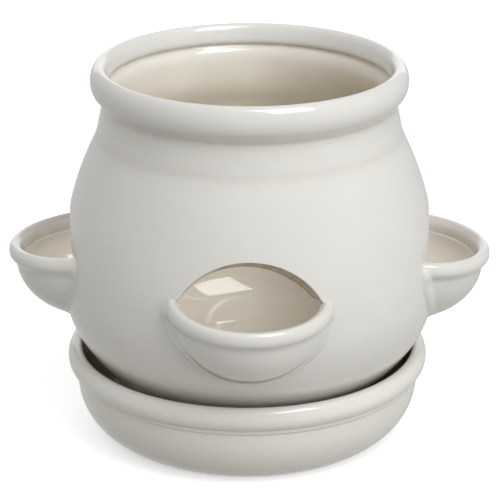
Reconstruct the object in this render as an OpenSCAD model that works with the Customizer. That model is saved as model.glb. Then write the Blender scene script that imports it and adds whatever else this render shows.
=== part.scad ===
// Strawberry jar planter: a slip-cast jar with four planting cups luted on
// round its belly, standing loose in a deep saucer.
// Millimetres. +Z is up, -Y is the front. The origin lies under the middle of
// the saucer, on the surface that the saucer stands on.

/* [Jar] */
// Height of the jar from the bottom of its foot to the top of its lip
jar_h = 190; // [176:1:215]
// Diameter of the belly at its widest
belly_d = 195.7; // [188:0.1:206]
// Height of the widest part of the belly above the jar's foot
belly_rise = 76.5; // [70:0.5:84]
// Radius of the belly's lower curve, which runs into a straight taper
low_bow = 60.5; // [52:0.5:72]
// Thickness of the cast wall
wall_t = 5.5; // [4:0.5:7]
// Thickness of the jar's floor
floor_t = 6; // [4:0.5:10]
// Diameter of the jar's foot ring
foot_d = 104; // [90:1:114]
// Height of the foot ring under the floor
foot_h = 2.5; // [1.5:0.5:4]
// Width of the foot ring's standing face
foot_w = 8; // [5:0.5:12]
// Diameter of the drain hole in the floor
drain_d = 12.7; // [8:0.1:20]

/* [Neck and lip] */
// Diameter where the neck band rises out of the shoulder
shoulder_d = 157.6; // [155:0.2:162]
// How far the neck band draws in from the shoulder to the groove under the lip
neck_draw = 3.3; // [1:0.1:6]
// Height of the neck band
neck_h = 17; // [12:0.5:22]
// How far the rolled lip stands out over the groove
lip_out = 5.8; // [4:0.1:10]
// Height of the lip's top above the groove
lip_h = 19.8; // [18:0.2:23]
// Height of the roll itself
roll_h = 16.6; // [14:0.2:17.6]
// Width of the roll from its outermost line to its crest
roll_w = 5.2; // [4:0.2:6.5]
// How far the lip's inner face slopes in from the crest
lip_slope = 3.2; // [2:0.1:4]

/* [Cups] */
// Outer diameter of a cup at its rim band
cup_d = 83; // [76:1:88]
// Depth of a cup outside, from its rim to its bottom
cup_depth = 42; // [38:1:46]
// Thickness of a cup's wall
cup_wall = 5; // [4:0.5:6]
// Height of the rim band
band_h = 9; // [6:0.5:12]
// How far the rim band stands proud of the cup
band_out = 3; // [1.5:0.5:4]
// Height of the cups' rims above the jar's foot
cup_rise = 95.8; // [90:0.2:102]
// How far a cup's centre line lies inside the widest line of the belly
cup_inset = 13.1; // [9:0.1:18]
// How far a cup leans outwards, in degrees
cup_lean = 5.4; // [0:0.2:8]
// Height of the arched cut in the jar's wall above a cup's rim
arch_h = 21; // [16:0.5:26]

/* [Saucer] */
// Gap between the jar and the inner edge of the saucer's rim
saucer_gap = 5; // [3:0.5:12]
// Height of the saucer
saucer_h = 45.2; // [40:0.2:52]
// How far the saucer's side draws in from its widest line to the table
saucer_draw = 17.6; // [14:0.2:22]
// Thickness of the saucer's wall
saucer_wall = 5; // [4:0.5:6]
// Thickness of the saucer's floor
saucer_floor_t = 6; // [4:0.5:8]
// Height of the recess under the saucer's floor
saucer_foot_h = 2; // [1:0.5:3]
// Width of the ring that the saucer stands on
saucer_foot_w = 8; // [5:0.5:12]
// Height between the upright part of the saucer's side and its rim band
saucer_side_h = 6; // [4:0.5:8]
// Height of the saucer's rim band
saucer_band_h = 10.5; // [8:0.5:13]
// How far the saucer's rim band stands proud of its wall
saucer_band_out = 4.8; // [3:0.2:6]
// Width of the saucer's rim, seen from above
saucer_rim_w = 6.5; // [5:0.5:8]

/* [Hidden] */
$fn = 120;
jar_glaze = [0.86, 0.85, 0.82];
saucer_glaze = [0.83, 0.82, 0.78];
step = 6;                // degrees between the points of a rounded stretch
past = 1;                // how far a cutter runs past the face it cuts
groove = 1;              // depth of the groove left behind a trimmed lip or band
rim_slope = 2;           // how far a cup's rim slopes in from its crest
roll_from = -45;         // angles between which the lip's roll is drawn
roll_to = 110;
band_from = -60;         // angle at which a rim band's roll starts
saucer_band_to = 150;    // angle at which the saucer's roll ends

// levels, from the table upwards
jar_z = saucer_foot_h + saucer_floor_t;      // the jar stands on the saucer's floor
floor_low = jar_z + foot_h;
floor_top = floor_low + floor_t;
belly_z = jar_z + belly_rise;
lip_top = jar_z + jar_h;
groove_z = lip_top - lip_h;
shoulder_z = groove_z - neck_h;

// radii
foot_r = foot_d / 2;
belly_r = belly_d / 2;
shoulder_r = shoulder_d / 2;
neck_r = shoulder_r - neck_draw;
base_r = foot_r + foot_h;                    // where the body leaves the foot ring

// the lip's roll is an upright oval, joined to the groove by a straight underside
roll_c = [neck_r + lip_out - roll_w, lip_top - roll_h / 2];
inner_lip = roll_c - [lip_slope, groove];

// The radius of a circle that is upright at its start and, after rising by
// one amount, has drawn in by another
function bow(rise, drop) = (rise * rise + drop * drop) / (2 * drop);

// The angle at which a line from point p touches a circle round c
function touch(c, r, p) = atan2(p[1] - c[1], p[0] - c[0]) + acos(r / norm(p - c));

// Points along an oval round c from angle a to angle b
function oval(c, rx, rz, a, b) =
    let (n = max(2, ceil(abs(b - a) / step)))
    [for (i = [0:n]) let (t = a + (b - a) * i / n) c + [rx * cos(t), rz * sin(t)]];

// All points but the first
function tail(pts) = [for (i = [1:len(pts) - 1]) pts[i]];

// the belly: a lower curve and a flatter upper one, meeting at its widest line
low_c = [belly_r - low_bow, belly_z];
low_in = low_bow - wall_t;
high_bow = bow(shoulder_z - belly_z, belly_r - shoulder_r);
high_c = [belly_r - high_bow, belly_z];
high_in = high_bow - wall_t;
taper = touch(low_c, low_bow, [base_r, floor_low]);

// The radius, at height z, of the lower curve of radius r and the taper under it
function low_side(z, r) = z > belly_z + r * sin(taper)
    ? low_c[0] + sqrt(r * r - (z - belly_z) * (z - belly_z))
    : low_c[0] + r * cos(taper) - (z - belly_z - r * sin(taper)) * tan(taper);

// The angle at which a circle round the belly's upper centre meets the shoulder
function high_angle(r) = asin((shoulder_z - belly_z) / r);

// the jar's outer line, from its foot to the crest of its lip
outer_line = concat(
    [[foot_r, jar_z], [foot_r, jar_z + foot_h / 2], [base_r, floor_low]],
    oval(low_c, low_bow, low_bow, taper, 0),
    tail(oval(high_c, high_bow, high_bow, 0, high_angle(high_bow))),
    [[neck_r, groove_z]],
    oval(roll_c, roll_w, roll_h / 2, roll_from, roll_to));

// the jar's inner line, from its lip down to its floor
neck_in = neck_r - wall_t;
inner_line = concat(
    [inner_lip,
     inner_lip + [groove, -groove],
     [neck_in + groove, groove_z + wall_t],
     [neck_in, groove_z]],
    oval(high_c, high_in, high_in, high_angle(high_in), 0),
    tail(oval(low_c, low_in, low_in, 0, taper)),
    [[low_side(floor_top, low_in), floor_top]]);

// a cup's own line: z = 0 at its rim, its bottom below
cup_r = cup_d / 2 - band_out;
cup_in_r = cup_r - cup_wall;
cup_low = cup_depth - band_h - groove;       // height of the rounded bottom
cup_room_h = cup_low - cup_wall;             // the same inside
cup_mid = [0, -band_h - groove];             // where the bottom's rounding starts
cup_axis_r = belly_r - cup_inset;
rim_z = jar_z + cup_rise;
cup_dip = cup_inset * sin(cup_lean) + past;  // how far the leaning rim drops at the wall
arch_r = bow(cup_in_r, arch_h + cup_dip);

module turned(pts) { rotate_extrude() polygon(pts); }

// puts a cup's own shape where it is luted on, on the side at the given angle
module at_cup(side) {
    rotate([0, 0, side]) translate([0, -cup_axis_r, rim_z]) rotate([cup_lean, 0, 0]) children();
}

// the room inside a cup, up to its rim
module cup_room() {
    turned(concat([[0, 0]], oval(cup_mid, cup_in_r, cup_room_h, -90, 0), [[cup_in_r, 0]]));
}

// the arched cut above a cup's rim
module arch(side) {
    rotate([0, 0, side]) intersection() {
        translate([0, -cup_axis_r, rim_z + arch_h - arch_r]) rotate([90, 0, 0])
            cylinder(r = arch_r, h = belly_r, center = true);
        translate([-belly_r, -belly_d, rim_z - cup_dip])
            cube([belly_d, belly_d, arch_h + cup_dip + past]);
    }
}

module jar_body() {
    color(jar_glaze) difference() {
        turned(concat([[0, floor_low], [foot_r - foot_w - foot_h, floor_low],
            [foot_r - foot_w, jar_z]], outer_line, inner_line, [[0, floor_top]]));
        translate([0, 0, jar_z]) cylinder(d = drain_d, h = floor_top - jar_z + past);
        for (side = [0:90:270]) {
            at_cup(side) cup_room();
            arch(side);
        }
    }
}

module pocket(side) {
    color(jar_glaze) difference() {
        at_cup(side) turned(concat(
            oval(cup_mid, cup_r, cup_low, -90, 0),
            [[cup_r, -band_h]],
            oval([cup_r, -band_h / 2], band_out, band_h / 2, band_from, 90),
            [[cup_r - rim_slope, -rim_slope / 2], [cup_in_r + groove, groove - band_h]],
            oval(cup_mid, cup_in_r, cup_room_h, 0, -90)));
        turned(concat([[0, jar_z]], outer_line, [[0, lip_top]]));
    }
}

module pocket_front() { pocket(0); }
module pocket_right() { pocket(90); }
module pocket_back() { pocket(180); }
module pocket_left() { pocket(270); }

// the saucer clears the jar by a named gap at its rim; its side is one arc,
// upright at its widest, from the table to the groove under the rim band
saucer_r = low_side(saucer_h, low_bow) + saucer_gap + saucer_rim_w;
side_r = saucer_r - saucer_band_out;
saucer_base_r = side_r - saucer_draw;
side_top = saucer_h - saucer_band_h - groove;
side_mid = side_top - saucer_side_h;
side_bow = bow(side_mid, saucer_draw);
side_in = side_bow - saucer_wall;
side_c = [side_r - side_bow, side_mid];
band_half = [saucer_rim_w / 2, saucer_band_h / 2];
band_c = [saucer_r, saucer_h] - band_half;

module saucer() {
    color(saucer_glaze) turned(concat(
        [[0, saucer_foot_h], [saucer_base_r - saucer_foot_w - saucer_foot_h, saucer_foot_h],
         [saucer_base_r - saucer_foot_w, 0]],
        oval(side_c, side_bow, side_bow, -asin(side_mid / side_bow),
             asin(saucer_side_h / side_bow)),
        oval(band_c, band_half[0], band_half[1], band_from, saucer_band_to),
        [[side_r - saucer_wall, side_top]],
        oval(side_c, side_in, side_in, 0, -asin((side_mid - jar_z) / side_in)),
        [[0, jar_z]]));
}

jar_body();
pocket_front();
pocket_right();
pocket_back();
pocket_left();
saucer();
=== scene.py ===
"""A glazed strawberry jar planter standing in its saucer.

The jar's neck, foot and saucer are turned forms; the wall between them is laid out round four
arched openings, and a cup is luted over each opening with a coil of clay. Lengths in this file
are millimetres unless a name says otherwise, and every finished mesh is scaled to metres.
"""
import math

import bmesh
import bpy
import mathutils
import numpy as np
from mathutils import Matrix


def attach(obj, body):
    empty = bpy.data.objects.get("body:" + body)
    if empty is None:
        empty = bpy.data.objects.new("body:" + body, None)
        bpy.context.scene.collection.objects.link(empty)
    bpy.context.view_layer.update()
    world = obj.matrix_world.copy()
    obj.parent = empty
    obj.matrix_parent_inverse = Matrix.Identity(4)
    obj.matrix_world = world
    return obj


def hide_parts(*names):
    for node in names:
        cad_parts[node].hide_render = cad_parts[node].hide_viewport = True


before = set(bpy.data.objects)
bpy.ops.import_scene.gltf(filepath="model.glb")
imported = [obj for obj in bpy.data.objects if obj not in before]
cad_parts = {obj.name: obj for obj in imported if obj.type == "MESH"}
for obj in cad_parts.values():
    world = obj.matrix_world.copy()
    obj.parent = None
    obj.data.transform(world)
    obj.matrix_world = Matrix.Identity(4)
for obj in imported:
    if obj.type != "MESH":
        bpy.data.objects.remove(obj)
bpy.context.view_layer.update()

MM = 0.001

# the jar's driving sizes, as in the frame; only the lower bow inside is wider than the solid's
BELLY_R = 97.85
BELLY_Z = 84.5
LOW_BOW = 60.5
INNER_BOW = 68.0
WALL = 5.5
SHOULDER_R = 78.8
SHOULDER_Z = 161.2
GROOVE_Z = 178.2
NECK_R = 75.5
FOOT_R = 52.0
FOOT_W = 8.0
FOOT_SLOPE = 2.5
JAR_Z = 8.0
FLOOR_LOW = 10.5
FLOOR_TOP = 16.5
DRAIN_R = 6.35
ROLL_R, ROLL_Z = 76.1, 189.7
ROLL_W, ROLL_H = 5.2, 8.3

# the cups
CUP_AXIS_R = 84.75
CUP_Z = 103.8
CUP_LEAN = math.radians(5.4)
CUP_R = 38.5
CUP_WALL = 5.0
BAND_H = 9.0
BAND_OUT = 3.0
BOWL_TOP = -10.0
BOWL_H = 32.0
LEDGE = -7.4
ARCH_TOP = CUP_Z + 20.3
ARCH_R = 39.5
ARCH_FLAT = CUP_Z - 2.2
OPENING_Z = CUP_Z + BOWL_TOP

# how finely the forms are laid out, and how far a turned line may stray when points are left out
SEGMENTS = 256
PANEL_ROWS = 44
STRAY, LONGEST_STEP = 0.012, 2.0
# points closer than this are welded, and edges shorter than this are cleared
WELD, SLIVER = 0.004, 0.001
# an edge that turns by more than this stays sharp
SHARPEST = math.radians(60)
# heights between which the wall is laid out in panels, one round each opening
WALL_LOW, WALL_HIGH = 50.0, 140.0


def arc(centre, rx, rz, start, end, count):
    """Points along an oval from one angle to another, in degrees."""
    turn = np.radians(np.linspace(start, end, count))
    return np.stack([centre[0] + rx * np.cos(turn), centre[1] + rz * np.sin(turn)], 1)


def rounded(points, steps=7):
    """A line through (r, z, radius) corners, each corner eased by its radius."""
    line = []
    for i, (r, z, radius) in enumerate(points):
        here = np.array([r, z], float)
        if radius == 0 or i == 0 or i == len(points) - 1:
            line.append(here)
            continue
        before = np.array(points[i - 1][:2], float) - here
        after = np.array(points[i + 1][:2], float) - here
        reach_before, reach_after = np.linalg.norm(before), np.linalg.norm(after)
        before, after = before / reach_before, after / reach_after
        half = math.acos(np.clip(before @ after, -1, 1)) / 2
        nearly_half = 0.49 * min(reach_before, reach_after)
        cut = min(radius / max(math.tan(half), 1e-6), nearly_half)
        for t in np.linspace(0, 1, steps):
            line.append(here + before * cut * (1 - t) ** 2 + after * cut * t ** 2)
    return np.array(line)


def flowing(points, steps=8):
    """A soft line drawn by a cubic B-spline from the first (r, z) point to the last."""
    p = np.array(points, float)
    p = np.concatenate([p[:1], p[:1], p, p[-1:], p[-1:]])
    t = np.linspace(0, 1, steps, endpoint=False)[:, None]
    weights = ((1 - t) ** 3, 3 * t ** 3 - 6 * t ** 2 + 4, -3 * t ** 3 + 3 * t ** 2 + 3 * t + 1, t ** 3)
    spans = [sum(w * q for w, q in zip(weights, p[i:i + 4])) / 6 for i in range(len(p) - 3)]
    return np.concatenate(spans + [p[-1:]])


def spaced(line, longest):
    """The same line with no step longer than a given length."""
    out = [line[0]]
    for a, b in zip(line[:-1], line[1:]):
        count = max(1, int(np.ceil(np.linalg.norm(b - a) / longest)))
        out += [a + (b - a) * k / count for k in range(1, count + 1)]
    return np.array(out)


def thinned(line):
    """The same line without the points that hardly bend it."""
    kept = [0]
    for i in range(2, len(line)):
        start = line[kept[-1]]
        chord = line[i] - start
        length = max(np.linalg.norm(chord), 1e-9)
        between = line[kept[-1] + 1:i] - start
        stray = np.abs(between[:, 0] * chord[1] - between[:, 1] * chord[0]) / length
        if stray.max() > STRAY or length > LONGEST_STEP:
            kept.append(i - 1)
    return line[kept + [len(line) - 1]]


# ---------------------------------------------------------------- the jar's meridian

UPPER_RISE = SHOULDER_Z - BELLY_Z
UPPER_DROP = BELLY_R - SHOULDER_R
UPPER_BOW = (UPPER_RISE ** 2 + UPPER_DROP ** 2) / (2 * UPPER_DROP)


def side_radius(z, depth=0.0):
    """Radius of the jar's curved side at height z, a given depth below its outer face."""
    z = np.asarray(z, float)
    bow = LOW_BOW + (INNER_BOW - LOW_BOW) * depth / WALL
    low = BELLY_R - depth - bow + np.sqrt(np.maximum(bow ** 2 - (z - BELLY_Z) ** 2, 0))
    high = BELLY_R - UPPER_BOW + np.sqrt(np.maximum((UPPER_BOW - depth) ** 2 - (z - BELLY_Z) ** 2, 0))
    return np.where(z < BELLY_Z, low, high)


def taper_start():
    """The angle, in radians, at which the lower curve runs into the straight taper to the foot."""
    base = np.array([FOOT_R + FOOT_SLOPE, FLOOR_LOW]) - [BELLY_R - LOW_BOW, BELLY_Z]
    return math.atan2(base[1], base[0]) + math.acos(LOW_BOW / np.linalg.norm(base))


def taper_radius(z):
    """Radius of the straight taper at height z."""
    a = taper_start()
    return BELLY_R - LOW_BOW + LOW_BOW * math.cos(a) - (z - BELLY_Z - LOW_BOW * math.sin(a)) * math.tan(a)


def side_line(low, high, depth):
    """Points up the curved side between two heights."""
    z = np.linspace(low, high, int(abs(high - low) / 2) + 2)
    return np.stack([side_radius(z, depth), z], 1)


# heights between which the side flows over into the neck
SIDE_TO_NECK = (149, 155)
# (r, z) up the neck's outer face and round the groove to the lip's underside
NECK_FLOW = [
    (80.3, 158.4), (79.1, 161.2), (78.3, 164.2), (77.6, 167.6), (76.9, 171), (76.2, 174.3), (75.6, 176.8),
    (NECK_R - 0.2, GROOVE_Z - 0.2), (NECK_R + 0.2, GROOVE_Z + 0.8),
    (ROLL_R + 1.6, ROLL_Z - 8), (ROLL_R + 3.6, ROLL_Z - 6.0)]
ROLL_FROM, ROLL_TO = -46, 88
# (r, z) down the lip's inner face, over the fine step under it, and down inside the neck
STEP_UNDER_LIP = (73.4, 187.2)
LIP_FLOW = [
    (75.4, 197.9), (73.6, 196.4), (72.6, 193.5), (72.0, 190.5), (71.9, 188.8), (72.6, 187.9),
    STEP_UNDER_LIP, (73.2, 186.2), (72.0, 185.3), (70.8, 184.0), (69.9, 181.0), (69.6, 176.5),
    (70.0, 170.0), (71.9, SHOULDER_Z)]
# the bend inside from the side to the floor: its radius and the angle at which it ends
BEND_R, BEND_END = 34.0, -54
# (r, z, easing) of the small step where the floor begins, and of the floor's rise to it
FLOOR_STEP = [(60.3, 31.2, 0.8), (59.2, 30.15, 0.8), (38.0, FLOOR_TOP, 9)]


def neck_line():
    """From the openings' wall up the outside, over the rolled lip and down the inside."""
    low, high = SIDE_TO_NECK
    outside = flowing([*side_line(low, high, 0), *NECK_FLOW])
    roll = arc((ROLL_R, ROLL_Z), ROLL_W, ROLL_H, ROLL_FROM, ROLL_TO, 30)
    inside = flowing([roll[-1], *LIP_FLOW, *side_line(high, low, WALL)])[1:]
    return thinned(np.concatenate([side_line(WALL_HIGH, low, 0), outside, roll, inside,
                                   side_line(low, WALL_HIGH, WALL)]))


def base_line():
    """From the openings' wall down the inside, across the floor, through the drain and up the foot."""
    touch_out = BELLY_Z + LOW_BOW * math.sin(taper_start())
    start = math.asin((BELLY_Z - WALL_LOW) / INNER_BOW)
    middle = (side_radius(WALL_LOW, WALL) - BEND_R * math.cos(start), WALL_LOW + BEND_R * math.sin(start))
    bend = arc(middle, BEND_R, BEND_R, -math.degrees(start), BEND_END, 16)
    corners = rounded([
        (*bend[-1], 0), *FLOOR_STEP, (DRAIN_R, FLOOR_TOP, 1.2), (DRAIN_R, FLOOR_LOW, 1.2),
        (FOOT_R - FOOT_W - FOOT_SLOPE, FLOOR_LOW, 1.5), (FOOT_R - FOOT_W, JAR_Z, 1), (FOOT_R, JAR_Z, 1),
        (FOOT_R, (JAR_Z + FLOOR_LOW) / 2, 0.8), (FOOT_R + FOOT_SLOPE, FLOOR_LOW, 1.5),
        (taper_radius(touch_out - 1), touch_out - 1, 0)])
    return thinned(np.concatenate([bend[:-1], corners, side_line(touch_out, WALL_LOW, 0)]))


# ---------------------------------------------------------------- meshes

# what each point tells the glaze: how thinly glazed it is or how much painted shade it takes, where the
# clay is bare, how far inside it is
MARKS = ("thin", "bare", "inside")


def make_mesh(name, points, faces, marks):
    """A mesh in metres with one number per point under each mark's name."""
    mesh = bpy.data.meshes.new(name)
    mesh.from_pydata((np.asarray(points) * MM).tolist(), [], faces)
    for mark, values in marks.items():
        stored = mesh.attributes.new(mark, "FLOAT", "POINT")
        stored.data.foreach_set("value", np.asarray(values, np.float32))
    return mesh


def tube_faces(rows, columns):
    """Faces of a tube of points laid out row by row, each row a closed ring."""
    faces = []
    for i in range(rows - 1):
        for j in range(columns):
            k = (j + 1) % columns
            faces.append((i * columns + j, i * columns + k, (i + 1) * columns + k, (i + 1) * columns + j))
    return faces


def close_and_smooth(mesh):
    """Welds the seams, clears flaps, turns every face outwards and shades the form smooth."""
    bm = bmesh.new()
    bm.from_mesh(mesh)
    bmesh.ops.remove_doubles(bm, verts=bm.verts, dist=WELD * MM)
    bmesh.ops.dissolve_degenerate(bm, edges=bm.edges, dist=SLIVER * MM)
    crowded = [face for edge in bm.edges if len(edge.link_faces) > 2 for face in edge.link_faces]
    flaps = {face for face in crowded if any(len(edge.link_faces) == 1 for edge in face.edges)}
    bmesh.ops.delete(bm, geom=list(flaps), context="FACES")
    bmesh.ops.recalc_face_normals(bm, faces=bm.faces)
    bm.to_mesh(mesh)
    bm.free()
    mesh.shade_smooth()
    mesh.set_sharp_from_angle(angle=SHARPEST)
    return mesh


def make_piece(name, mesh):
    """An object in the scene, at the origin."""
    piece = bpy.data.objects.new(name, mesh)
    bpy.context.scene.collection.objects.link(piece)
    return piece


def turned_form_nodes():
    """Geometry nodes that turn a line of points, drawn in the XZ plane, round the Z axis."""
    tree = bpy.data.node_groups.new("turned_form", "GeometryNodeTree")
    face = tree.interface
    face.new_socket("Line", in_out="INPUT", socket_type="NodeSocketGeometry")
    face.new_socket("Segments", in_out="INPUT", socket_type="NodeSocketInt").default_value = SEGMENTS
    face.new_socket("Finish", in_out="INPUT", socket_type="NodeSocketMaterial")
    face.new_socket("Form", in_out="OUTPUT", socket_type="NodeSocketGeometry")
    new, link = tree.nodes.new, tree.links.new

    def maths(operation, *values):
        node = new("ShaderNodeMath")
        node.operation = operation
        for socket, value in zip(node.inputs, values):
            if isinstance(value, (int, float)):
                socket.default_value = value
            else:
                link(value, socket)
        return node.outputs[0]

    given = new("NodeGroupInput")
    size = new("GeometryNodeAttributeDomainSize")
    link(given.outputs["Line"], size.inputs[0])
    rows = size.outputs["Point Count"]
    columns = maths("ADD", given.outputs["Segments"], 1)
    sheet = new("GeometryNodeMeshGrid")
    link(columns, sheet.inputs["Vertices X"])
    link(rows, sheet.inputs["Vertices Y"])
    index = new("GeometryNodeInputIndex").outputs[0]
    column = maths("FLOOR", maths("DIVIDE", maths("ADD", index, 0.5), rows))
    row = maths("SUBTRACT", index, maths("MULTIPLY", column, rows))
    turn = maths("MULTIPLY", maths("DIVIDE", column, given.outputs["Segments"]), 2 * math.pi)

    def from_line(kind, value):
        sample = new("GeometryNodeSampleIndex")
        sample.data_type = kind
        link(given.outputs["Line"], sample.inputs["Geometry"])
        link(value, sample.inputs["Value"])
        link(row, sample.inputs["Index"])
        return sample.outputs["Value"]

    split = new("ShaderNodeSeparateXYZ")
    link(from_line("FLOAT_VECTOR", new("GeometryNodeInputPosition").outputs[0]), split.inputs[0])
    place = new("ShaderNodeCombineXYZ")
    link(maths("MULTIPLY", split.outputs["X"], maths("COSINE", turn)), place.inputs["X"])
    link(maths("MULTIPLY", split.outputs["X"], maths("SINE", turn)), place.inputs["Y"])
    link(split.outputs["Z"], place.inputs["Z"])
    shaped = new("GeometryNodeSetPosition")
    link(sheet.outputs["Mesh"], shaped.inputs["Geometry"])
    link(place.outputs[0], shaped.inputs["Position"])
    form = shaped.outputs[0]
    for mark in MARKS:
        read = new("GeometryNodeInputNamedAttribute")
        read.data_type = "FLOAT"
        read.inputs["Name"].default_value = mark
        keep = new("GeometryNodeStoreNamedAttribute")
        keep.inputs["Name"].default_value = mark
        link(form, keep.inputs["Geometry"])
        link(from_line("FLOAT", read.outputs[0]), keep.inputs["Value"])
        form = keep.outputs[0]
    welded = new("GeometryNodeMergeByDistance")
    welded.inputs["Distance"].default_value = WELD * MM / 2
    link(form, welded.inputs["Geometry"])
    real = new("GeometryNodeRealizeInstances")
    link(welded.outputs[0], real.inputs[0])
    finished = new("GeometryNodeSetMaterial")
    link(real.outputs[0], finished.inputs["Geometry"])
    link(given.outputs["Finish"], finished.inputs["Material"])
    link(finished.outputs[0], new("NodeGroupOutput").inputs[0])
    return tree


def run_nodes(name, mesh, tree, **values):
    """The plain mesh that a geometry node tree makes from a starting mesh."""
    start = make_piece(name, mesh)
    modifier = start.modifiers.new(name, "NODES")
    modifier.node_group = tree
    for item in tree.interface.items_tree:
        if item.in_out == "INPUT" and item.name in values:
            modifier[item.identifier] = values[item.name]
    graph = bpy.context.evaluated_depsgraph_get()
    result = bpy.data.meshes.new_from_object(start.evaluated_get(graph), depsgraph=graph)
    start.modifiers.clear()
    bpy.data.objects.remove(start)
    return result


def line_marks(line, thin_at=(), thin_along=0.0, bare_below=None, inside=None):
    """How thinly the glaze lies or how much painted shade it takes, where the clay is bare, and what faces
    the jar's inside, along a line.
    """
    thin = np.zeros(len(line)) + thin_along
    for r, z, reach, amount in thin_at:
        away = np.hypot(line[:, 0] - r, line[:, 1] - z) / reach
        thin = np.maximum(thin, amount * np.clip(1 - away, 0, 1))
    bare = np.zeros(len(line))
    if bare_below is not None:
        bare = np.clip((bare_below - line[:, 1]) / 0.5, 0, 1)
    deep = np.zeros(len(line)) if inside is None else inside
    return {"thin": thin, "bare": bare, "inside": deep}


def turned(name, line, finish, tree, **marks):
    """A line turned round the jar's axis."""
    points = np.stack([line[:, 0], np.zeros(len(line)), line[:, 1]], 1)
    start = make_mesh(name, points, [], line_marks(line, **marks))
    return run_nodes(name, start, tree, Segments=SEGMENTS, Finish=finish)


def joined(name, meshes, finish):
    """Several meshes as one."""
    bm = bmesh.new()
    for mesh in meshes:
        bm.from_mesh(mesh)
    whole = bpy.data.meshes.new(name)
    bm.to_mesh(whole)
    bm.free()
    whole.materials.clear()
    whole.materials.append(finish)
    return whole


# ---------------------------------------------------------------- the cups

# how far the coil was smeared over the cup at its sides, and over the jar at the sides and under the cup
COIL_ON_CUP = 3.4
COIL_ON_JAR, COIL_ON_JAR_LOW = 4.4, 1.3


class Seat:
    """Where one cup was luted on by hand: its side of the jar, how far it sits high, its roll, how far
    the coil was smeared under it, and how high a ridge the tool left along the coil."""

    def __init__(self, side, turn, rise=0.0, roll=0.0, smear=COIL_ON_CUP, ridge=0.16):
        self.side, self.turn = side, turn
        self.smear, self.ridge = smear, ridge
        self.origin = np.array([0, -CUP_AXIS_R, CUP_Z + rise])
        cos_lean, sin_lean = math.cos(CUP_LEAN), math.sin(CUP_LEAN)
        cos_roll, sin_roll = math.cos(math.radians(roll)), math.sin(math.radians(roll))
        about_x = np.array([[1, 0, 0], [0, cos_lean, -sin_lean], [0, sin_lean, cos_lean]])
        about_y = np.array([[cos_roll, 0, -sin_roll], [0, 1, 0], [sin_roll, 0, cos_roll]])
        self.axes = about_y @ about_x

    def place(self, radius, height, turn):
        """Points at a radius, height and turn in the cup, in the frame of its side of the jar."""
        flat = np.broadcast_arrays(radius * np.sin(turn), -radius * np.cos(turn), height)
        return np.stack(flat, -1) @ self.axes.T + self.origin

    def local(self, points):
        """Radius, height and turn in the cup of points in the frame of its side."""
        x, y, z = np.moveaxis((points - self.origin) @ self.axes, -1, 0)
        return np.hypot(x, y), z, np.arctan2(x, -y)

    def holds(self, points, grow=0.0):
        """Whether points lie in the room inside the cup."""
        radius, height, _ = self.local(points)
        line = cup_inside()[::-1]
        return (radius <= np.interp(height, line[:, 1], line[:, 0]) + grow) & (height <= 0)


SEATS = [Seat("front", 0, roll=-0.8, smear=10.0, ridge=0.5), Seat("right", 90, rise=-0.3),
         Seat("back", 180, roll=0.5), Seat("left", 270, rise=1.6, roll=1.3)]
# angles at which a cup's bowl ends and its rim band begins
BOWL_END, BAND_START = -4, -15
# (out, up) from the bowl's top, along the soft waist between the bowl and the band
WAIST = [(0, -1.0), (0.3, 0.4), (1.0, 1.6), (1.9, 2.6), (2.6, 3.5)]
# how deep the rim is rounded inside, how far it stays out from the room's wall, and in how many points
RIM_ROUND, RIM_STAYS_OUT, RIM_POINTS = 4.2, 0.9, 14
# how far into the jar's wall a cup runs, outside and inside
SUNK_OUT, SUNK_IN = WALL * 0.5, WALL * 0.66
# how far round a cup is laid out to each side of its front, in degrees, with a point at each degree
CUP_SPREAD = 124
# how thinly the glaze lies at a cup's rounded rim, and how dark the painted shade is in the crease of the
# ledge under it
RIM_THIN, LEDGE_SHADE = 0.33, 0.6
# how far below the rim the inside's tone sets in, partly its own and partly painted bounce light, and over
# what height it gets full
CUP_TONE_FROM, CUP_TONE_OVER = 1, 14
# how often a stretch is halved in the search for the place where a test stops holding
HALVINGS = 26


def cup_outside():
    """A cup's outer line in its own frame: up the bowl, round the band and over to its crest."""
    bowl = arc((0, BOWL_TOP), CUP_R, BOWL_H, -90, BOWL_END, 44)
    band = arc((CUP_R, -BAND_H / 2), BAND_OUT, BAND_H / 2, BAND_START, 90, 18)
    waist = flowing([bowl[-1], *[(CUP_R + out, BOWL_TOP + up) for out, up in WAIST], band[0]], 5)
    return np.concatenate([bowl[:-1], waist, band[1:]])


def cup_inside():
    """A cup's inner line: from its crest down the rounded rim, over the ledge and down the bowl."""
    inner = CUP_R - CUP_WALL
    crest = arc((CUP_R, -RIM_ROUND), CUP_R - inner - RIM_STAYS_OUT, RIM_ROUND, 90, 180, RIM_POINTS)
    ledge = rounded([(*crest[-1], 0), (inner + 0.75, LEDGE, 0.4), (inner - 0.1, LEDGE - 0.7, 0.5),
                     (inner, BOWL_TOP, 0)], 6)
    bowl = arc((0, BOWL_TOP), inner, BOWL_H - CUP_WALL, 0, -90, 46)
    return np.concatenate([crest, ledge[1:], bowl[1:]])


def wall_depth(points):
    """How deep points lie below the jar's outer face."""
    return side_radius(points[..., 2]) - np.hypot(points[..., 0], points[..., 1])


def halved(holds, low, high):
    """The place between low and high, for each of many, at which a test stops holding."""
    low, high = np.array(low, float), np.array(high, float)
    for _ in range(HALVINGS):
        middle = (low + high) / 2
        still = holds(middle)
        low, high = np.where(still, middle, low), np.where(still, high, middle)
    return (low + high) / 2


def trimmed(seat, line, turns, keep):
    """A cup's line at each turn, with the stretch past a depth in the wall drawn in to that depth."""
    sheet = seat.place(line[None, :, 0], line[None, :, 1], turns[:, None])
    depth = wall_depth(sheet)
    for row, deep in zip(sheet, depth):
        past = np.nonzero(deep > keep)[0]
        if len(past) == 0:
            continue
        first = past[0]
        if first == 0:
            row[:] = row[0]
            continue
        share = (keep - deep[first - 1]) / (deep[first] - deep[first - 1])
        row[first:] = row[first - 1] + share * (row[first] - row[first - 1])
    return sheet


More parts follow.
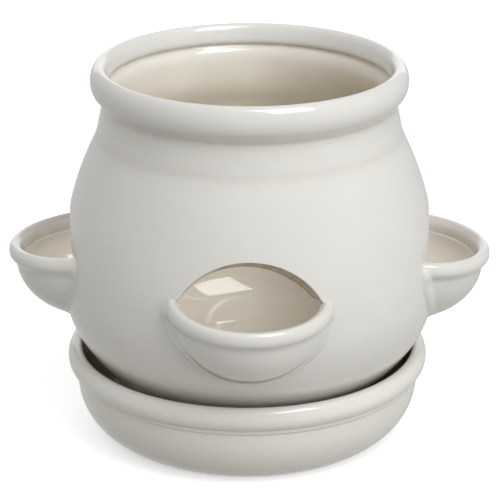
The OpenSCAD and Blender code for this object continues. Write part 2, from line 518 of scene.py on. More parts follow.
def closed_sheet(name, sheet, **marks):
    """A tube of points whose rows close on themselves, with both of its ends filled."""
    rows, columns = sheet.shape[:2]
    faces = tube_faces(rows, columns)
    faces += [tuple(range(columns)), tuple(range((rows - 1) * columns, rows * columns))[::-1]]
    return make_mesh(name, sheet.reshape(-1, 3), faces,
                     {mark: marks.get(mark, np.zeros((rows, columns))).ravel() for mark in MARKS})


def cup_mesh(seat):
    """One cup, closed inside the thickness of the jar's wall."""
    turns = np.radians(np.linspace(-CUP_SPREAD, CUP_SPREAD, 2 * CUP_SPREAD + 1))
    outside = trimmed(seat, cup_outside()[::-1], turns, SUNK_OUT)[:, ::-1]
    inside = trimmed(seat, cup_inside(), turns, SUNK_IN)
    sheet = np.concatenate([outside, inside[:, 1:]], 1)
    _, height, _ = seat.local(sheet)
    inner = (np.arange(sheet.shape[1]) >= outside.shape[1])[None, :]
    # the ledge's mark is painted shade in its crease; the rim's is glaze that thins over it
    thin = inner * (RIM_THIN * near(height, -0.8, 1.3) + LEDGE_SHADE * near(height, LEDGE, 1.0))
    # the inside's tone: partly its own, partly painted bounce light
    deep = inner * np.clip(-(height + CUP_TONE_FROM) / CUP_TONE_OVER, 0, 1)
    return closed_sheet("cup", sheet, thin=thin, inside=deep)


def near(values, place, reach):
    """1 at a place, falling to 0 at a distance from it."""
    return np.clip(1 - np.abs(values - place) / reach, 0, 1)


# how far apart the coil is laid out, and how finely the cup's line is walked and searched for it
LUTING_STEP, SEAM_STEP, FINE_STEP = 0.8, 0.35, 0.05
# how many rows it has from the jar to the cup, and how closely they gather towards the cup
COIL_ROWS, COIL_GATHER = 18, 1.5
# how far its lines are sponged out, in steps along it: the corner, the foot on the jar, the edge on the
# cup before and after it is laid there, the way the cup faces, and the swell
EASE_CORNER, EASE_FOOT, EASE_EDGE, EASE_LAID, EASE_FACING, EASE_SWELL = 3, 15, 9, 2, 9, 4
# how far it swells at the cup's left, and how hollow it was smoothed elsewhere and at the roll's ends
COIL_FULL, COIL_HOLLOW, COIL_HOLLOW_TOP = 0.9, -0.7, -0.85
# the fine ridge that the tool left where the coil ends on the cup: its width, and its run-out there
RIDGE_W, RIDGE_ON_CUP = 0.5, 1.4
# steps along the cup's line from its crest, and how much of the coil is left there
FADE_AT, FADE = (-30, -2, 13), (1, 0.85, 0.15)
# steps from the crest between which the coil's foot turns upwards, and its roll's end turns hollow
TURNS_UP, TURNS_HOLLOW = (-12, 2), (-26, -8)
# how far below the opening the coil's low part begins, and over what height
COIL_LOW_FROM, COIL_LOW_OVER = 7, 16
# how far the coil runs out over the cup beyond its edge, row by row
BEYOND_EDGE = (0.4, 0.8, 1.3, 1.9, 2.6, 3.4)


def eased(path, reach):
    """A path with its small wiggles sponged out."""
    weight = np.hanning(2 * reach + 1)[1:-1]
    weight /= weight.sum()
    pad = len(weight) // 2
    ends = np.concatenate([np.repeat(path[:1], pad, 0), path, np.repeat(path[-1:], pad, 0)])
    return np.stack([np.convolve(ends[:, i], weight, "valid") for i in range(3)], 1)


def seam(seat):
    """The joint's place along the cup's line and its turn in the cup, from the left ledge to the right."""
    line = spaced(np.concatenate([cup_outside(), cup_inside()[1:RIM_POINTS + 1]]), SEAM_STEP)
    halves = []
    for way in (-1, 1):
        def outside_wall(turn):
            return wall_depth(seat.place(line[:, 0], line[:, 1], way * turn)) < 0
        starts = outside_wall(np.zeros(len(line)))
        turn = halved(outside_wall, np.zeros(len(line)), np.full(len(line), math.pi))
        halves.append([(i, way * turn[i]) for i in np.nonzero(starts)[0]
                       if i < np.argmax(line[:, 1]) + FADE_AT[-1]])
    path = np.array(halves[0][::-1] + halves[1])
    points = seat.place(line[path[:, 0].astype(int), 0], line[path[:, 0].astype(int), 1], path[:, 1])
    run = np.concatenate([[0], np.cumsum(np.linalg.norm(np.diff(points, axis=0), axis=1))])
    even = np.linspace(0, run[-1], int(run[-1] / LUTING_STEP))
    return line, np.interp(even, run, path[:, 0]), np.interp(even, run, path[:, 1])


def luting_rows(seat):
    """The coil's foot on the jar, the corner it fills, its upper edge on the cup, and its buried back."""
    line, along, turn = seam(seat)
    count = np.arange(len(line))
    radius, height = np.interp(along, count, line[:, 0]), np.interp(along, count, line[:, 1])
    corner = eased(seat.place(radius, height, turn), EASE_CORNER)
    path = np.gradient(corner, axis=0)
    path /= np.linalg.norm(path, axis=1)[:, None]
    slope = (side_radius(corner[:, 2] + 0.1) - side_radius(corner[:, 2] - 0.1)) / 0.2
    round_jar = np.hypot(corner[:, 0], corner[:, 1])
    jar_out = np.stack([corner[:, 0] / round_jar, corner[:, 1] / round_jar, -slope], 1)
    jar_out /= np.linalg.norm(jar_out, axis=1)[:, None]
    step = np.gradient(line, axis=0)
    step /= np.linalg.norm(step, axis=1)[:, None]
    out_r, out_h = np.interp(along, count, step[:, 1]), np.interp(along, count, -step[:, 0])
    cup_out = seat.place(radius + out_r, height + out_h, turn) - seat.place(radius, height, turn)
    cup_out /= np.linalg.norm(cup_out, axis=1)[:, None]
    on_jar, on_cup = np.cross(path, jar_out), np.cross(path, cup_out)
    on_jar *= np.sign((on_jar * cup_out).sum(1))[:, None]
    on_cup *= np.sign((on_cup * jar_out).sum(1))[:, None]
    crest = np.argmax(line[:, 1])
    fade = np.interp(along, [crest + at for at in FADE_AT], FADE)[:, None]
    upward = np.array([0, 0, 1.0]) - jar_out * jar_out[:, 2:]
    over = np.interp(along, [crest + at for at in TURNS_UP], [0, 1])[:, None]
    on_jar = on_jar * (1 - over) + upward * over
    low = np.clip((OPENING_Z - COIL_LOW_FROM - corner[:, 2]) / COIL_LOW_OVER, 0, 1)[:, None]
    foot = corner + on_jar * fade * (COIL_ON_JAR + (COIL_ON_JAR_LOW - COIL_ON_JAR) * low)
    turn_jar = np.arctan2(foot[:, 0], -foot[:, 1])
    round_jar = side_radius(foot[:, 2], 0.05)
    foot = np.stack([round_jar * np.sin(turn_jar), -round_jar * np.cos(turn_jar), foot[:, 2]], 1)
    fine = spaced(line, FINE_STEP)
    reach = fade * (COIL_ON_CUP + (seat.smear - COIL_ON_CUP) * low)

    def on_the_cup(beyond):
        over_cup = eased(corner + on_cup * (reach + beyond * fade), EASE_EDGE)
        cup_radius, cup_height, cup_turn = seat.local(over_cup)
        nearest = [np.argmin((fine[:, 0] - r) ** 2 + (fine[:, 1] - h) ** 2)
                   for r, h in zip(cup_radius, cup_height)]
        return eased(seat.place(fine[nearest, 0], fine[nearest, 1], cup_turn), EASE_LAID)

    foot, edge, cup_out = eased(foot, EASE_FOOT), on_the_cup(0.0), eased(cup_out, EASE_FACING)
    top = np.interp(along, [crest + at for at in TURNS_HOLLOW], [0, 1])[:, None]
    full = np.clip(-corner[:, :1] / 20 - 0.2, 0, 1) * (1 - top) * (1 - low)
    hollow = COIL_HOLLOW * (1 - low) + (COIL_HOLLOW_TOP - COIL_HOLLOW) * top
    swell = (cup_out + jar_out) * 0.6 * fade * (hollow + (COIL_FULL - COIL_HOLLOW) * full)
    swell = eased(swell, EASE_SWELL)
    ridge = seat.ridge * fade * (1 - top)
    rows = []
    for share in 1 - (1 - np.linspace(0, 1, COIL_ROWS)) ** COIL_GATHER:
        place = foot * (1 - share) + edge * share + swell * math.sin(share * math.pi)
        away = np.linalg.norm(place - edge, axis=1)[:, None]
        rows.append(place + cup_out * ridge * np.exp(-(away / RIDGE_W) ** 2))
    for beyond in BEYOND_EDGE:
        proud = ridge * math.exp(-(beyond / RIDGE_ON_CUP) ** 2) - 0.02 * beyond
        rows.append(on_the_cup(beyond) + cup_out * proud)
    return np.array(rows + [corner - jar_out - cup_out])


def luting_mesh(seat):
    """The coil of clay pressed into the corner between a cup and the jar."""
    return closed_sheet("luting", luting_rows(seat).transpose(1, 0, 2))


# ---------------------------------------------------------------- the wall with its openings

# how far the opening's edges were rounded with a sponge, outside and inside
EDGE_OUT, EDGE_IN = 0.7, 0.6
# rows over a rounded edge, from there across the face to the panel's border, and across the cut
EDGE_ROWS, FACE_ROWS, CUT_ROWS = 9, 17, 4
# how closely the face's rows gather towards the opening
FACE_GATHER = 1.4
# how dark and warm the opening's rounded edge and cut are, from the outer face inwards: the glaze thins
# over the edge, and painted shade darkens the cut
EDGE_THIN_AND_SHADE = (0, 1.0, 1.15, 0.4, 0)
# painted shade low on the side above the saucer, darker towards the bottom: how dark, from which height
# down, and over what height it gets there
LOW_SHADE, LOW_SHADE_FROM, LOW_SHADE_OVER = 0.3, 62, 24
# how far the hand-held knife slanted inwards, in mm, at angles round the opening from its right
SLANT_AT = (-12, 11, 17, 45, 90, 135, 163, 169, 192)
SLANT = (0, 0, 3.6, 4.3, 3.3, 2.1, 1.3, 0, 0)


def on_side(across, up, depth=0.0, forward=0.0):
    """Points of the jar's side, from their place across and up in the plane facing the front."""
    radius = side_radius(up, depth)
    y = -np.sqrt(np.maximum(radius ** 2 - across ** 2, 1.0)) - forward
    return np.stack([across, y, up], -1)


def opening_outline(seat, ray, depth):
    """How far the opening reaches from its centre in each direction, on a face of the wall."""
    def in_arch(t):
        across, up = ray[:, 0] * t, OPENING_Z + ray[:, 1] * t
        top = ARCH_TOP - ARCH_R + np.sqrt(np.maximum(ARCH_R ** 2 - across ** 2, 0))
        return (np.abs(across) < ARCH_R) & (up < top) & (up > ARCH_FLAT)

    def in_room(t):
        return seat.holds(on_side(ray[:, 0] * t, OPENING_Z + ray[:, 1] * t, depth), 0.15)

    near_middle, far_out = np.full(len(ray), 2.0), np.full(len(ray), 50.0)
    over_flat = (ARCH_FLAT - OPENING_Z) / np.maximum(ray[:, 1], 0.05) + 0.01
    start = np.minimum(np.where(ray[:, 1] > 0.05, over_flat, near_middle), 40.0)
    arch = np.where(in_arch(start), halved(in_arch, start, far_out), 0)
    return np.maximum(arch, halved(in_room, near_middle, far_out))


def low_thin(z):
    """Painted shade on the jar's side above the saucer's rim, darker towards the bottom, at height z."""
    return LOW_SHADE * np.clip((LOW_SHADE_FROM - z) / LOW_SHADE_OVER, 0, 1)


def wall_panel(seat):
    """A quarter of the jar's wall, outside and inside, round one arched opening."""
    half_turn = math.pi / 4
    turn = np.linspace(-half_turn, half_turn, SEGMENTS // 4 + 1)
    level = np.linspace(WALL_LOW, WALL_HIGH, PANEL_ROWS + 1)
    border = np.array([(half_turn, z) for z in level[:-1]] + [(t, WALL_HIGH) for t in turn[:0:-1]]
                      + [(-half_turn, z) for z in level[:0:-1]] + [(t, WALL_LOW) for t in turn[:-1]])
    reach = BELLY_R * np.sin(border[:, 0])
    angles = np.arctan2(border[:, 1] - OPENING_Z, reach)
    ray = np.stack([np.cos(angles), np.sin(angles)], -1)

    degrees = np.mod(np.degrees(angles) + 90, 360) - 90
    slant = np.interp(degrees, SLANT_AT, SLANT)
    soft = np.hanning(7) / np.hanning(7).sum()
    slant = np.convolve(np.concatenate([slant[-3:], slant, slant[:3]]), soft, "valid")

    def face_rows(depth, ease):
        edge = opening_outline(seat, ray, depth) - slant * depth / WALL
        centre = np.stack([ray[:, 0] * edge, OPENING_Z + ray[:, 1] * edge], 1)
        along = np.roll(centre, -1, 0) - np.roll(centre, 1, 0)
        out = np.stack([along[:, 1], -along[:, 0]], 1)
        out /= np.linalg.norm(out, axis=1)[:, None]
        out *= np.sign((out * ray).sum(1))[:, None]
        rows = []
        for a in np.radians(np.linspace(90, 0, EDGE_ROWS)):
            place = centre + out * ease * (1 - math.sin(a))
            inward = ease * (1 - math.cos(a)) * (1 if depth == 0 else -1)
            rows.append(on_side(place[:, 0], place[:, 1], depth, -inward))
        start = centre + out * ease
        start_turn = np.arcsin(start[:, 0] / side_radius(start[:, 1], depth))
        for share in np.linspace(0, 1, FACE_ROWS + 1)[1:] ** FACE_GATHER:
            t = start_turn * (1 - share) + border[:, 0] * share
            z = start[:, 1] * (1 - share) + border[:, 1] * share
            radius = side_radius(z, depth)
            rows.append(np.stack([radius * np.sin(t), -radius * np.cos(t), z], 1))
        return np.array(rows[1:] if depth == 0 else rows)

    outer, inner = face_rows(0.0, EDGE_OUT), face_rows(WALL, EDGE_IN)
    cut = [outer[0] * (1 - share) + inner[0] * share for share in np.linspace(0, 1, CUT_ROWS + 2)[1:-1]]
    rows = np.concatenate([outer[::-1], np.array(cut), inner])
    begins, ends = len(outer), len(outer) + len(cut)
    row = np.arange(len(rows))
    # the glaze thins over the opening's edge, and painted shade darkens its cut
    thin = np.interp(row, [begins - 7, begins - 2, ends, ends + 3, ends + 10], EDGE_THIN_AND_SHADE)
    # painted shade low on the outer side, above the saucer
    thin = np.maximum(thin[:, None], low_thin(rows[..., 2]) * (row < begins)[:, None])
    # the inside's tone: partly its own, partly painted bounce light
    deep = np.clip((row - begins) / 5, 0, 1)
    columns = rows.shape[1]
    marks = {"thin": thin.ravel(), "bare": np.zeros(thin.size), "inside": np.repeat(deep, columns)}
    return make_mesh("panel", rows.reshape(-1, 3), tube_faces(len(rows), columns), marks)


def turned_copy(mesh, degrees):
    """A copy of a front mesh, turned to another side of the jar."""
    copy = mesh.copy()
    turn = math.radians(degrees)
    points = np.zeros(len(copy.vertices) * 3, np.float32)
    copy.vertices.foreach_get("co", points)
    x, y, z = points.reshape(-1, 3).T
    turned_points = np.stack([x * math.cos(turn) - y * math.sin(turn),
                              x * math.sin(turn) + y * math.cos(turn), z], 1)
    copy.vertices.foreach_set("co", turned_points.ravel())
    copy.update()
    return copy


# ---------------------------------------------------------------- finishes

class Wiring:
    """Short ways to add and join the nodes of one tree."""

    def __init__(self, tree):
        self.tree = tree

    def put(self, socket, value):
        """Joins a node's output to a socket, or gives the socket a plain value."""
        if isinstance(value, bpy.types.NodeSocket):
            self.tree.links.new(value, socket)
        else:
            socket.default_value = value

    def add(self, kind, out=0, settings=None, **inputs):
        """An output of a new node, whose inputs are given by name, or by number as i0, i1 and so on."""
        node = self.tree.nodes.new("ShaderNode" + kind)
        for key, value in (settings or {}).items():
            setattr(node, key, value)
        for key, value in inputs.items():
            self.put(node.inputs[int(key[1:]) if key[1:].isdigit() else key.replace("_", " ")], value)
        return node.outputs[out]

    def maths(self, operation, a, b):
        return self.add("Math", settings={"operation": operation}, i0=a, i1=b)

    def noise(self, where, scale, detail, roughness):
        return self.add("TexNoise", Vector=where, Scale=scale, Detail=detail, Roughness=roughness)

    def spread(self, value, low, high, to_low=0.0, to_high=1.0):
        return self.add("MapRange", Value=value, From_Min=low, From_Max=high, To_Min=to_low, To_Max=to_high)

    def mix(self, share, a, b):
        return self.add("Mix", out=2, settings={"data_type": "RGBA"}, Factor=share, i6=a, i7=b)

    def shade(self, colour, factor):
        """A colour made lighter or darker by a factor."""
        return self.add("VectorMath", settings={"operation": "SCALE"}, i0=colour, Scale=factor)


# what one glaze differs in from another, with the plain values
# the inside's tone is partly painted bounce light, and the thin tone also paints shade in creases, on cuts
# and low down
GLAZE_INPUTS = (
    ("Glaze", "Color", (0.74, 0.72, 0.67, 1)), ("Inside", "Color", (0.6, 0.53, 0.42, 1)),
    ("Thin_and_shade", "Color", (0.36, 0.265, 0.16, 1)), ("Clay", "Color", (0.6, 0.5, 0.38, 1)),
    ("Clouding", "Float", 0.03), ("Specks", "Float", 0.3), ("Offset", "Float", 0.0))
GLAZE_OUTPUTS = (("Color", "Color"), ("Roughness", "Float"), ("Coat", "Float"), ("Height", "Float"))
# how closely its clouds, drifts and grains of clay lie
CLOUDS, DRIFTS, GRAINS = 22, 160, 1500
# specks and pinholes: how closely their cells lie, which cells hold one, and its soft edge
SPECKS = 210.0, (0.955, 0.96), (0.04, 0.14)
PINHOLES = 95.0, (0.975, 0.98), (0.02, 0.055)
# ripple and sway of the poured glaze, as closeness and height in mm, and other heights in mm
RIPPLE, SWAY = (95, 0.055), (34, 0.16)
PINHOLE_DEPTH, GRAIN_HEIGHT = 0.12, 0.10
# inside, painted shade darkens the glaze towards the right, where the inner wall faces away from the
# window: from where to where, in metres, how dark, and where that stops short of the right cup
RIGHT_SHADE_FROM, RIGHT_SHADE_TO, RIGHT_SHADE = 0.0, 0.07, 0.9
RIGHT_SHADE_ENDS = 0.08, 0.09
# (from, to, low, high): how clouds warm the glaze, how drifts break up a thin edge and roughen the
# glaze, and how grains lighten and darken the clay
WARM_CLOUDS, EDGE_BROKEN = (0.45, 0.75, 0.0, 0.10), (0.3, 0.7, 0.55, 1.0)
GLAZE_ROUGH, CLAY_GRAIN = (0.2, 0.8, 0.26, 0.36), (0.2, 0.8, 0.82, 1.12)
# how much of the thin tone an edge (thinly glazed, or painted shade in a crease) and a pinhole take, and
# how rough the bare clay is
EDGE_WARMTH, PINHOLE_WARMTH, CLAY_ROUGH = 0.9, 0.35, 0.9
# the glassy top of the glaze, the same all over
GLASSY_TOP = {"IOR": 1.45, "Specular IOR Level": 0.15, "Coat Roughness": 0.04, "Coat IOR": 1.8}


def fired_glaze_group():
    """How a poured glaze breaks up: clouds, warm thinly glazed edges, specks, pinholes and its soft ripple;
    it also paints shade in creases, on cuts, low down and inside, and bounce light inside.
    """
    tree = bpy.data.node_groups.new("fired_glaze", "ShaderNodeTree")
    face = tree.interface
    for name, kind, value in GLAZE_INPUTS:
        face.new_socket(name, in_out="INPUT", socket_type="NodeSocket" + kind).default_value = value
    for name, kind in GLAZE_OUTPUTS:
        face.new_socket(name, in_out="OUTPUT", socket_type="NodeSocket" + kind)
    w = Wiring(tree)
    given = tree.nodes.new("NodeGroupInput").outputs
    place = w.add("TexCoord", out=3)
    shifted = w.add("VectorMath", settings={"operation": "ADD"}, i0=place,
                    i1=w.add("CombineXYZ", X=given["Offset"], Y=given["Offset"], Z=given["Offset"]))
    thin, bare, inside = (w.add("Attribute", out=2, settings={"attribute_name": mark}) for mark in MARKS)

    def both(a, b):
        return w.maths("MULTIPLY", a, b)

    def strewn(closeness, chance, edge):
        """Dots strewn at random: where one lies, from 0 to 1."""
        cell = w.add("TexVoronoi", settings={"feature": "F1"}, Vector=shifted, Scale=closeness).node.outputs
        held = w.spread(w.add("SeparateColor", Color=cell["Color"]), *chance)
        return both(held, w.spread(cell["Distance"], *edge, 1.0, 0.0))

    clouds = w.noise(shifted, CLOUDS, 3.0, 0.55)
    drift = w.noise(shifted, DRIFTS, 2.0, 0.6)
    half_clouding = both(given["Clouding"], 0.5)
    tone = w.maths("ADD", both(w.maths("SUBTRACT", clouds, 0.5), given["Clouding"]),
                   both(w.maths("SUBTRACT", drift, 0.5), half_clouding))
    # the inside's tone: partly its own, partly painted bounce light
    body = w.mix(inside, given["Glaze"], given["Inside"])
    body = w.shade(body, w.maths("ADD", tone, 1.0))
    across = w.add("SeparateXYZ", Vector=place)
    # painted shade: the inside darkens towards the right, where its wall faces away from the window
    right_shade = both(w.spread(across, RIGHT_SHADE_FROM, RIGHT_SHADE_TO, 0.0, RIGHT_SHADE), w.spread(across, *RIGHT_SHADE_ENDS, 1.0, 0.0))
    body = w.mix(both(inside, right_shade), body, given["Thin_and_shade"])
    warm = w.mix(w.spread(clouds, *WARM_CLOUDS), body, given["Inside"])
    broken = w.spread(drift, *EDGE_BROKEN)
    # the thin tone: where the glaze thins over edges, and painted shade in creases, on cuts and low on the
    # side
    edged = w.mix(both(both(thin, broken), EDGE_WARMTH), warm, given["Thin_and_shade"])

    specked = w.mix(both(strewn(*SPECKS), given["Specks"]), edged, given["Thin_and_shade"])
    pinhole = strewn(*PINHOLES)
    holed = w.mix(both(pinhole, PINHOLE_WARMTH), specked, given["Thin_and_shade"])
    grain = w.noise(shifted, GRAINS, 2.0, 0.6)
    clay = w.shade(given["Clay"], w.spread(grain, *CLAY_GRAIN))

    waves = [both(w.noise(shifted, closeness, 1.0, 0.4), height) for closeness, height in (RIPPLE, SWAY)]
    glassy = w.maths("SUBTRACT", w.maths("ADD", *waves), both(pinhole, PINHOLE_DEPTH))
    gritty = both(grain, GRAIN_HEIGHT)
    shine = w.spread(drift, *GLAZE_ROUGH)

    out = tree.nodes.new("NodeGroupOutput").inputs
    w.put(out["Color"], w.mix(bare, holed, clay))
    w.put(out["Roughness"], w.add("Mix", settings={"data_type": "FLOAT"}, i0=bare, i2=shine, i3=CLAY_ROUGH))
    w.put(out["Coat"], w.maths("SUBTRACT", 1.0, bare))
    w.put(out["Height"], w.add("Mix", settings={"data_type": "FLOAT"}, i0=bare, i2=glassy, i3=gritty))
    return tree


def glaze(name, group, **values):
    """A glossy off-white glaze poured over buff clay, glass-clear on top."""
    material = bpy.data.materials.new(name)
    material.use_nodes = True
    tree = material.node_tree
    surface = tree.nodes["Principled BSDF"]
    fired = tree.nodes.new("ShaderNodeGroup")
    fired.node_tree = group
    for socket, value in values.items():
        fired.inputs[socket].default_value = (*value, 1) if isinstance(value, tuple) else value
    bump = tree.nodes.new("ShaderNodeBump")
    bump.inputs["Strength"].default_value = 1.0
    bump.inputs["Distance"].default_value = MM
    tree.links.new(fired.outputs["Height"], bump.inputs["Height"])
    for output, socket in (("Color", "Base Color"), ("Roughness", "Roughness"), ("Coat", "Coat Weight")):
        tree.links.new(fired.outputs[output], surface.inputs[socket])
    tree.links.new(bump.outputs[0], surface.inputs["Normal"])
    for socket, value in GLASSY_TOP.items():
        surface.inputs[socket].default_value = value
    return material


# ---------------------------------------------------------------- the object

# (r, z, reach, amount) of the creases: painted shade, darker and warmer in each hollow
JAR_CREASE_SHADE = [(*STEP_UNDER_LIP, 2.2, 0.7), (NECK_R, GROOVE_Z, 3.5, 0.24),
               (SHOULDER_R, SHOULDER_Z + 1, 4, 0.16)]
# the height under the lip at which the inside's tone sets in, partly its own and partly painted bounce
# light, and over what height it gets full
INSIDE_TONE_FROM, INSIDE_TONE_OVER = 192, 22


def build_jar(finish, tree):
    """The jar's shell in one piece, and a piece for each cup with its coil."""
    neck = neck_line()
    inner_side = np.arange(len(neck)) > np.argmax(neck[:, 1])
    # the inside's tone: partly its own, partly painted bounce light
    deep = inner_side * np.clip((INSIDE_TONE_FROM - neck[:, 1]) / INSIDE_TONE_OVER, 0, 1)
    # the neck's creases take painted shade
    neck_form = turned("neck", neck, finish, tree, inside=deep, thin_at=JAR_CREASE_SHADE)
    base = base_line()
    # the base's inside takes the inside's tone, partly painted bounce light
    from_inside = (np.arange(len(base)) < np.argmin(base[:, 0])) * 1.0
    # low down the outer side takes painted shade above the saucer
    base_form = turned("base", base, finish, tree, inside=from_inside, bare_below=JAR_Z + 0.8,
                       thin_along=low_thin(base[:, 1]) * (1 - from_inside))
    panels = [turned_copy(wall_panel(seat), seat.turn) for seat in SEATS]
    shell = close_and_smooth(joined("jar_shell", [neck_form, base_form] + panels, finish))
    jar = make_piece("jar_shell", shell)
    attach(jar, "jar")
    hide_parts("jar_body")
    for seat in SEATS:
        parts = [cup_mesh(seat), luting_mesh(seat)]
        both = joined("cup_" + seat.side, [turned_copy(part, seat.turn) for part in parts], finish)
        piece = make_piece("cup_" + seat.side, close_and_smooth(both))
        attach(piece, "jar")
        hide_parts("pocket_" + seat.side)


# the saucer's rim, the upright part of its side and how far that draws in to the table
SAUCER_R = 94.85
SAUCER_H = 45.2
SAUCER_SIDE_R = SAUCER_R - 4.8
SAUCER_MID = 27.7
SAUCER_BOW = 30.6
SAUCER_DRAW = 17.6
SAUCER_WALL = 5
SAUCER_FOOT_W, SAUCER_FOOT_H = 8, 2
# how far the jar was set down off the middle of the saucer
SAUCER_ASIDE = 1.2
# (out, z) from the side's widest line: up the groove, round the rim and down inside
SAUCER_RIM = [
    (-0.2, 31.2), (0.7, 31.8), (1.0, 32.6), (0.5, 33.4), (0.7, 34.1), (2.6, 34.8), (4.0, 36.2), (4.9, 38.6),
    (4.9, 41.2), (4.0, 43.8), (2.8, 45.4), (1.0, SAUCER_H + 0.9), (-1.3, SAUCER_H + 0.9), (-2.8, 45.1),
    (-3.1, 42.5), (-3.9, 38.5), (-4.7, 34.5), (-5, 30)]
# (r, z, reach, amount) of the rim's inner edge, where the glaze ran thin
SAUCER_EDGE = (SAUCER_R - 7.6, 44.6, 2.2, 0.8)


def saucer_line():
    """Underneath and up the saucer's outer side, round its rim, and down to the middle of its floor."""
    base_r, centre = SAUCER_SIDE_R - SAUCER_DRAW, (SAUCER_SIDE_R - SAUCER_BOW, SAUCER_MID)
    side = arc(centre, SAUCER_BOW, SAUCER_BOW, -math.degrees(math.asin(SAUCER_MID / SAUCER_BOW)), 5, 30)
    foot = rounded([(0, SAUCER_FOOT_H, 0), (base_r - SAUCER_FOOT_W - SAUCER_FOOT_H, SAUCER_FOOT_H, 1),
                    (base_r - SAUCER_FOOT_W, 0, 0.8), (*side[0], 1.2), (*side[2], 0)])
    rim = flowing([side[-1], *[(SAUCER_SIDE_R + out, z) for out, z in SAUCER_RIM]], 5)
    inside_bow = SAUCER_BOW - SAUCER_WALL
    down_to = -math.degrees(math.asin((SAUCER_MID - JAR_Z) / inside_bow))
    inner = arc(centre, inside_bow, inside_bow, 0, down_to, 24)
    floor = rounded([(*inner[-3], 0), (*inner[-1], 4), (0, JAR_Z, 0)])
    return spaced(np.concatenate([foot, side[3:-1], rim, inner[:-3], floor]), 3)


def build_saucer(finish, tree):
    """The saucer, a little to the left of the jar's middle."""
    line = saucer_line()
    inner_side = np.arange(len(line)) > np.argmax(line[:, 1])
    # the saucer's inside takes painted warm bounce light from the jar beside it
    deep = inner_side * np.clip((SAUCER_H - 0.2 - line[:, 1]) / 5, 0, 1)
    form = turned("saucer", line, finish, tree, bare_below=0.6, inside=deep, thin_at=[SAUCER_EDGE])
    form.transform(mathutils.Matrix.Translation((-SAUCER_ASIDE * MM, 0, 0)))
    piece = make_piece("saucer_form", close_and_smooth(joined("saucer_form", [form], finish)))
    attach(piece, "saucer")
    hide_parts("saucer")


# ---------------------------------------------------------------- the studio

# the camera's distance in metres, its height angle, the height it looks at, its lens and its framing
CAMERA_FAR = 1.192
CAMERA_UP = math.radians(20.59)
LOOK_Z = 0.100
LENS = 163.92
SHIFT_X, SHIFT_Y = 0.0009, -0.0148
# the soft window: its azimuth from the camera's side, elevation, distance and sides in metres, power
WINDOW_TURN, WINDOW_UP = math.radians(36), math.radians(58)
WINDOW_FAR = 1.3
WINDOW_W, WINDOW_H = 0.60, 0.86
WINDOW_POWER = 5.8
# the studio's pale walls: azimuth from the camera's side, elevation, how narrow, how bright
STUDIO_WALLS = [
    (52, 6, 4, 2.95), (20, 45, 6, 0.2), (-42, 42, 4, 1.0), (-135, 20, 4, 0.92), (178, 38, 4, 0.8)]
# how bright the backdrop is, and how far round behind the object it starts
BACKDROP, BACKDROP_FROM = 1.12, 0.88
# what glossy glaze mirrors of the studio: at the floor and below, and high up
FLOOR_MIRRORED, CEILING_MIRRORED = 0.6, 0.35
FLOOR_BOUNCE = (0.36, 0.34, 0.30, 1)
# how pale the paper is to the camera, and how much it glows of its own
PAPER, PAPER_GLOW = 0.9, 0.45
FLOOR_HALF = 6


def towards(azimuth, elevation):
    """The way to a place round the object, from angles in radians."""
    return (math.sin(azimuth) * math.cos(elevation), -math.cos(azimuth) * math.cos(elevation),
            math.sin(elevation))


def at_distance(way, far):
    """The place so far away in metres from the point that the camera looks at."""
    return mathutils.Vector(way) * far + mathutils.Vector((0, 0, LOOK_Z))


def build_camera():
    data = bpy.data.cameras.new("camera")
    data.sensor_width = 36
    data.lens = LENS
    data.shift_x, data.shift_y = SHIFT_X, SHIFT_Y
    camera = bpy.data.objects.new("camera", data)
    camera.location = at_distance(towards(0, CAMERA_UP), CAMERA_FAR)
    camera.rotation_euler = (math.pi / 2 - CAMERA_UP, 0, 0)
    bpy.context.scene.collection.objects.link(camera)
    bpy.context.scene.camera = camera


def build_window():
    """One flat soft light, like a window high on the right."""
    data = bpy.data.lights.new("window", "AREA")
    data.shape = "RECTANGLE"
    data.size, data.size_y = WINDOW_W, WINDOW_H
    data.energy = WINDOW_POWER
    window = bpy.data.objects.new("window", data)
    window.location = at_distance(towards(WINDOW_TURN, WINDOW_UP), WINDOW_FAR)
    window.rotation_euler = (math.pi / 2 - WINDOW_UP, 0, WINDOW_TURN)
    bpy.context.scene.collection.objects.link(window)


def seen_by(wiring, camera, gloss, light):
    """A colour as the camera sees it, as a glossy surface mirrors it, and as a light source."""
    path = wiring.add("LightPath").node.outputs
    mirrored = wiring.mix(path["Is Glossy Ray"], light, gloss)
    return wiring.mix(path["Is Camera Ray"], mirrored, camera)


def grey(value):
    """A neutral colour."""
    return (value, value, value, 1)


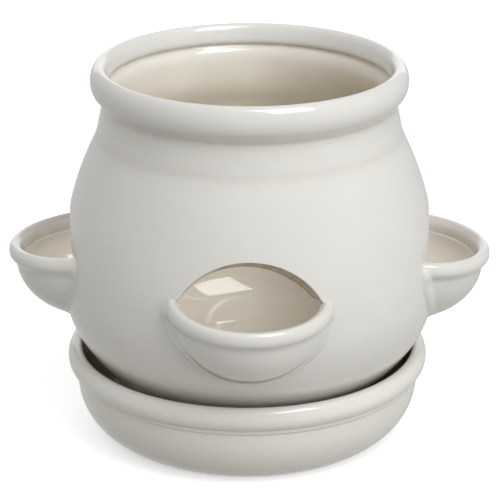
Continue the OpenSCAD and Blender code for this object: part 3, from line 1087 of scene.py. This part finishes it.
def studio_walls(wiring):
    """The studio round the object: soft pale walls, and the white backdrop behind."""
    way = wiring.add("TexCoord")
    parts = wiring.add("SeparateXYZ", Vector=way).node.outputs
    total = 0.0
    for azimuth, elevation, narrow, bright in STUDIO_WALLS:
        wall = towards(math.radians(azimuth), math.radians(elevation))
        facing = wiring.add("VectorMath", out=1, settings={"operation": "DOT_PRODUCT"}, i0=way, i1=wall)
        glow = wiring.maths("POWER", wiring.maths("MAXIMUM", facing, 0.0), narrow)
        total = wiring.maths("ADD", wiring.maths("MULTIPLY", glow, bright), total)
    behind = wiring.spread(parts[1], BACKDROP_FROM, BACKDROP_FROM + 0.02)
    glow = wiring.mix(behind, wiring.add("CombineXYZ", X=total, Y=total, Z=total), grey(BACKDROP))
    mirror = wiring.spread(parts[2], 0.0, 0.6, FLOOR_MIRRORED, CEILING_MIRRORED)
    mirror = wiring.mix(behind, wiring.add("CombineXYZ", X=mirror, Y=mirror, Z=mirror), grey(BACKDROP))
    return glow, mirror


def build_studio():
    """The world round the object, and the pale paper that it stands on."""
    world = bpy.data.worlds.new("studio")
    bpy.context.scene.world = world
    world.use_nodes = True
    walls = Wiring(world.node_tree)
    glow, mirror = studio_walls(walls)
    walls.put(world.node_tree.nodes["Background"].inputs["Color"], seen_by(walls, grey(1.0), mirror, glow))
    half = FLOOR_HALF
    floor_mesh = bpy.data.meshes.new("floor")
    floor_mesh.from_pydata([(-half, -half, 0), (half, -half, 0), (half, half, 0), (-half, half, 0)], [],
                           [(0, 1, 2, 3)])
    floor = make_piece("floor", floor_mesh)
    paper = bpy.data.materials.new("paper")
    paper.use_nodes = True
    surface = paper.node_tree.nodes["Principled BSDF"]
    sheet = Wiring(paper.node_tree)
    sheet.put(surface.inputs["Base Color"], seen_by(sheet, grey(PAPER), grey(0.0), FLOOR_BOUNCE))
    sheet.put(surface.inputs["Emission Color"],
              seen_by(sheet, grey(PAPER_GLOW), grey(FLOOR_MIRRORED), grey(0.0)))
    surface.inputs["Roughness"].default_value = 0.9
    surface.inputs["Specular IOR Level"].default_value = 0.0
    surface.inputs["Emission Strength"].default_value = 1.0
    floor_mesh.materials.append(paper)


build_camera()
build_window()
build_studio()
bpy.context.scene.view_settings.view_transform = "Standard"
fired_glaze = fired_glaze_group()
# the jar's lighter, warmer inside tone is partly the glaze's own, partly painted bounce light
jar_glaze = glaze("jar_glaze", fired_glaze, Glaze=(0.685, 0.676, 0.648), Inside=(0.92, 0.87, 0.77))
# the saucer's warmer inside tone is painted bounce light in the gap under the jar
saucer_glaze = glaze("saucer_glaze", fired_glaze, Glaze=(0.73, 0.722, 0.675), Inside=(0.78, 0.68, 0.54),
                      Offset=3.7, Clouding=0.06)
turning = turned_form_nodes()
build_jar(jar_glaze, turning)
build_saucer(saucer_glaze, turning)
